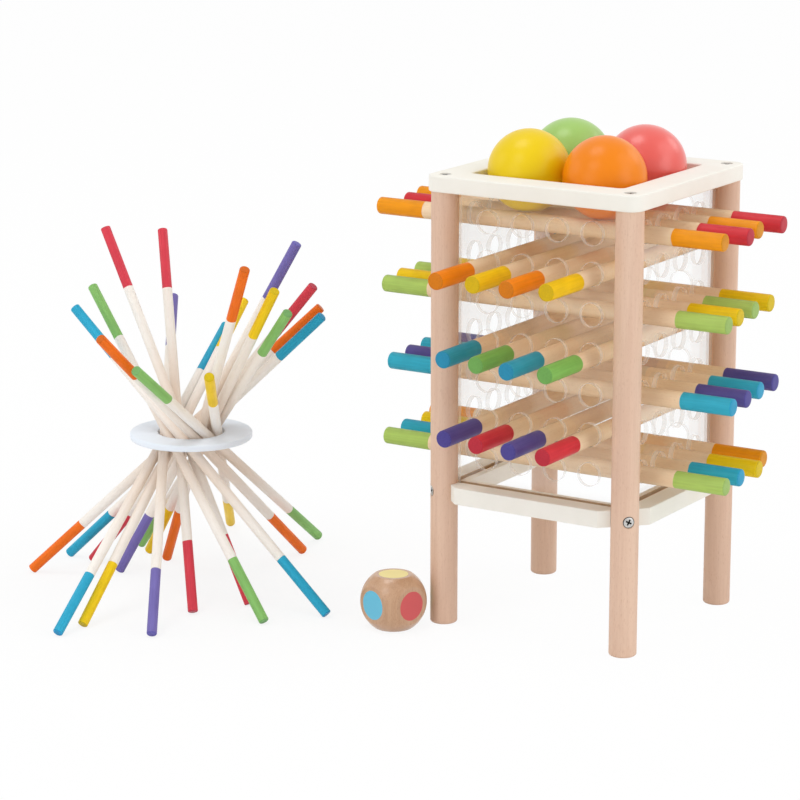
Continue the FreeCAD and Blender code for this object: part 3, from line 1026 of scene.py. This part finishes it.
screwModel = shapeScrew()
screwSteel = screwFinish("zincScrew", screw["steel"])
# painted shade: the dark second finish, for the recess and the rim chamfer
screwPaintedShade = screwFinish("paintedScrewShade", screw["paintedShade"])
keepGrainSpace(screwModel)
corners = ("front_left", "front_right", "back_left", "back_right")
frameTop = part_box("top_frame")[1].z
baseMiddle = middle("base_frame").z
towerMiddle = middle("top_frame")
for corner in corners:
    post = middle("post_" + corner)
    low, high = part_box("post_" + corner)
    radius = (high.x - low.x) / 2
    outward = Vector((post.x - towerMiddle.x, post.y - towerMiddle.y, 0)).normalized()
    topPlace = Vector((post.x, post.y, frameTop - screw["sink"]))
    sidePlace = Vector((post.x, post.y, baseMiddle)) + outward * (radius - screw["sink"])
    for label, place, way in (("down", topPlace, up), ("across", sidePlace, outward)):
        piece = copyOf(screwModel, f"screw_{label}_{corner}")
        piece.data.transform(Matrix.Translation(place) @ turnTo(way) @ anyRoll())
        paintWith(piece, screwSteel, screwPaintedShade)
        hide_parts("screws")
        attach(piece, "tower")
discard(screwModel)
print("screws driven")


post = {
    "pale": (0.79, 0.555, 0.415),
    "deep": (0.69, 0.455, 0.330),
    "fleck": 0.28,
    "coat": 0.12,
    "coatRoughness": 0.3,
    "relief": (0.3, 0.00003),
}
board = {
    "paint": (0.905, 0.88, 0.81),
    "specular": 0.16,
    "film": (0.55, 0.68),
    "relief": (0.35, 0.00003),
}
groove = {  # routed after painting, so it is bare wood
    "pale": (0.70, 0.50, 0.32),
    "deep": (0.55, 0.36, 0.21),
    "fleck": 0.3,
    "halfWidth": 0.0021,
    "depth": 0.004,
    "margin": 0.001,  # past the face of the board
}
panel = {
    "thickness": 0.003,
    "tint": (0.995, 1.0, 1.0),
    "ior": 1.0,  # a thin sheet doesn't shift what lies behind it; its gloss comes from the coat
    "gleam": 1.0,
    "weld": 0.000002,
    "flatAngle": 0.5,  # degrees: faces that differ by less are one flat
    "sharpAngle": 60.0,
    "edgeBevel": 0.00022,
    "smoothAngle": 30,
    "cutRoughness": 0.35,
    "cutAlpha": 0.32,
}


def postFinish():
    material, tree, shader = newFinish(
        "lacqueredPost", Coat_Weight=post["coat"], Coat_Roughness=post["coatRoughness"]
    )
    wood = woodOn(tree, post, objectPosition(tree))
    join(tree, wood["Colour"], shader.inputs["Base Color"])
    join(tree, wood["Roughness"], shader.inputs["Roughness"])
    roughen(tree, shader, wood["Height"], *post["relief"])
    return material


def boardFinish(name, grooveLow, grooveHigh):
    # painted board whose routed grooves are bare wood between two heights
    material, tree, shader = newFinish(name, Specular_IOR_Level=board["specular"])
    position = objectPosition(tree)
    film = filmOn(tree, board["paint"], board["film"], position)
    wood = woodOn(tree, groove, position)
    apart = split(tree, position)
    offsets = [maths(tree, "SUBTRACT", apart[axis], towerMiddle[axis]) for axis in (0, 1)]
    reach = maths(tree, "MAXIMUM", *[maths(tree, "ABSOLUTE", offset) for offset in offsets])
    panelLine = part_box("side_panels")[1].x - towerMiddle.x - panel["thickness"] / 2
    beside = maths(tree, "ABSOLUTE", maths(tree, "SUBTRACT", reach, panelLine))
    inGroove = maths(tree, "LESS_THAN", beside, groove["halfWidth"])
    below = maths(tree, "LESS_THAN", apart["Z"], grooveHigh)
    above = maths(tree, "GREATER_THAN", apart["Z"], grooveLow)
    bare = maths(tree, "MULTIPLY", inGroove, maths(tree, "MULTIPLY", below, above))
    join(tree, mixColour(tree, bare, film["Colour"], wood["Colour"]), shader.inputs["Base Color"])
    join(tree, film["Roughness"], shader.inputs["Roughness"])
    roughen(tree, shader, film["Height"], *board["relief"])
    return material


def cutPanels(name):
    # the sheets of one node, with polished flats and fine bevels round each hole and edge
    piece = bpy.data.objects.new(name + "_sheets", nodes[name].data.copy())
    bpy.context.scene.collection.objects.link(piece)
    piece.data.materials.clear()
    startEdit(piece, "EDGE")
    bpy.ops.mesh.select_all(action="SELECT")
    bpy.ops.mesh.remove_doubles(threshold=panel["weld"])
    bpy.ops.mesh.dissolve_limited(angle_limit=math.radians(panel["flatAngle"]))
    bpy.ops.mesh.select_all(action="DESELECT")
    bpy.ops.mesh.edges_select_sharp(sharpness=math.radians(panel["sharpAngle"]))
    bpy.ops.mesh.bevel(offset=panel["edgeBevel"], segments=2, profile=0.5, affect="EDGES")
    flatAxis = 1 if name.startswith("front") else 0
    mesh = bmesh.from_edit_mesh(piece.data)
    mesh.normal_update()
    for face in mesh.faces:
        face.material_index = 0 if abs(face.normal[flatAxis]) > facing else 1
    bmesh.update_edit_mesh(piece.data)
    endEdit()
    smooth(piece, panel["smoothAngle"])
    for face in piece.data.polygons:
        face.use_smooth = face.material_index == 1
    return piece


def panelFinish(name, **shine):
    # shadow rays and diffuse rays pass the sheet as if it were only tinted air
    material, tree, shader = newFinish(name, **shine)
    shader.inputs["Base Color"].default_value = full(panel["tint"])
    output = next(node for node in tree.nodes if node.type == "OUTPUT_MATERIAL").inputs["Surface"]
    seeThrough = addNode(tree, "ShaderNodeBsdfTransparent", {"Color": full(panel["tint"])})
    path = addNode(tree, "ShaderNodeLightPath").outputs
    passes = maths(tree, "MAXIMUM", path["Is Shadow Ray"], path["Is Diffuse Ray"])
    blendShaders(tree, passes, shader.outputs[0], seeThrough.outputs[0], output)
    return material


postBeech = postFinish()
for corner in corners:
    paintWith(nodes["post_" + corner], postBeech)
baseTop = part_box("base_frame")[1].z
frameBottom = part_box("top_frame")[0].z
depth, margin = groove["depth"], groove["margin"]
paintWith(nodes["top_frame"], boardFinish("topFramePaint", frameBottom - margin, frameBottom + depth))
paintWith(nodes["base_frame"], boardFinish("baseFramePaint", baseTop - depth, baseTop + margin))
clearSheet = panelFinish(
    "clearPanel", Roughness=0.0, IOR=panel["ior"], Transmission_Weight=1.0, Coat_Weight=panel["gleam"]
)
cutEdge = panelFinish("cutPanelEdge", Roughness=panel["cutRoughness"], Alpha=panel["cutAlpha"])
for name in ("front_and_back_panels", "side_panels"):
    sheets = cutPanels(name)
    paintWith(sheets, clearSheet, cutEdge)
    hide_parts(name)
    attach(sheets, "tower")
print("frames painted and panels cleared")


studio = {
    "floorSize": 30.0,
    "floorColour": (0.95, 0.95, 0.95),
    "shadowShare": (0.18, 0.03),  # of the shadow that shows on the ground, by the bundle and far off
    "shadowReach": (0.11, 0.26),  # from the middle of the ring
    "darkReach": (-0.95, -0.35),  # along y, where the ground that gloss mirrors gets dimmer
    "darkShare": 0.3,
    "worldStrength": 0.57,
    "lamps": [  # name, place, aim, size, power
        ("frontLamp", (-0.2, -2.1, 2.0), (0.05, 0.0, 0.15), 1.25, 9.5),
        ("lowLamp", (-0.6, -2.8, 0.6), (0.0, 0.0, 0.15), 1.8, 9.5),
        ("rightLamp", (2.3, 0.7, 2.1), (0.1, 0.0, 0.15), 2.2, 14.0),
        ("lowRightLamp", (2.9, -0.1, 0.75), (0.1, 0.0, 0.15), 1.8, 14.0),
        ("topLamp", (-0.5, -0.3, 2.6), (0.0, 0.0, 0.1), 1.2, 14.0),
        ("leftFill", (-2.4, -1.2, 1.3), (0.0, 0.0, 0.15), 1.4, 5.0),
        ("backLamp", (1.3, 2.2, 1.7), (0.1, 0.0, 0.2), 1.2, 7.0),
    ],
}


white = (1.0, 1.0, 1.0, 1.0)


def sightRays(tree):
    # 1 for the rays that show something: from the camera, mirrored, or through a clear sheet
    path = addNode(tree, "ShaderNodeLightPath").outputs
    seen = maths(tree, "MAXIMUM", path["Is Camera Ray"], path["Is Glossy Ray"])
    return path, maths(tree, "MAXIMUM", seen, path["Is Transmission Ray"])


def floorFinish():
    # seen directly, mirrored or through a clear sheet the ground is white, with part of its shadows
    material = bpy.data.materials.new("whiteGround")
    material.use_nodes = True
    tree = material.node_tree
    tree.nodes.clear()
    output = tree.nodes.new("ShaderNodeOutputMaterial").inputs["Surface"]
    matt = addNode(tree, "ShaderNodeBsdfDiffuse", {"Color": full(studio["floorColour"])})
    glow = addNode(tree, "ShaderNodeEmission", {"Color": white})
    path, seen = sightRays(tree)
    place = objectPosition(tree)
    bright = ramp(tree, split(tree, place)["Y"], *studio["darkReach"], studio["darkShare"], 1.0)
    mirrored = maths(tree, "SUBTRACT", path["Is Glossy Ray"], path["Is Transmission Ray"], True)
    dim = maths(tree, "MULTIPLY", maths(tree, "SUBTRACT", 1.0, bright), mirrored)
    join(tree, maths(tree, "SUBTRACT", 1.0, dim), glow.inputs["Strength"])
    away = addNode(tree, "ShaderNodeVectorMath", {1: middle("ring")}, operation="DISTANCE")
    join(tree, place, away.inputs[0])
    shadow = ramp(tree, away.outputs["Value"], *studio["shadowReach"], *studio["shadowShare"])
    glowing = maths(tree, "MULTIPLY", seen, maths(tree, "SUBTRACT", 1.0, shadow))
    blendShaders(tree, glowing, matt.outputs[0], glow.outputs[0], output)
    return material


def layFloor():
    clearSelection()
    bpy.ops.mesh.primitive_plane_add(size=studio["floorSize"])
    floor = named("whiteGround")
    paintWith(floor, floorFinish())


def lightWorld():
    world = bpy.data.worlds.new("paleStudio")
    world.use_nodes = True
    bpy.context.scene.world = world
    tree = world.node_tree
    tree.nodes.clear()
    output = tree.nodes.new("ShaderNodeOutputWorld").inputs["Surface"]
    sky = addNode(tree, "ShaderNodeBackground", {"Color": white, "Strength": studio["worldStrength"]})
    backdrop = addNode(tree, "ShaderNodeBackground", {"Color": white, "Strength": 1.0})
    blendShaders(tree, sightRays(tree)[1], sky.outputs[0], backdrop.outputs[0], output)


def hangLamps():
    for name, place, aim, size, power in studio["lamps"]:
        lamp = bpy.data.lights.new(name, "AREA")
        lamp.shape = "DISK"
        lamp.size = size
        lamp.energy = power
        stand = bpy.data.objects.new(name, lamp)
        stand.location = place
        stand.rotation_euler = (Vector(aim) - Vector(place)).to_track_quat("-Z", "Y").to_euler()
        bpy.context.scene.collection.objects.link(stand)


layFloor()
lightWorld()
hangLamps()
bpy.context.scene.view_settings.view_transform = "Standard"
print("studio lit")
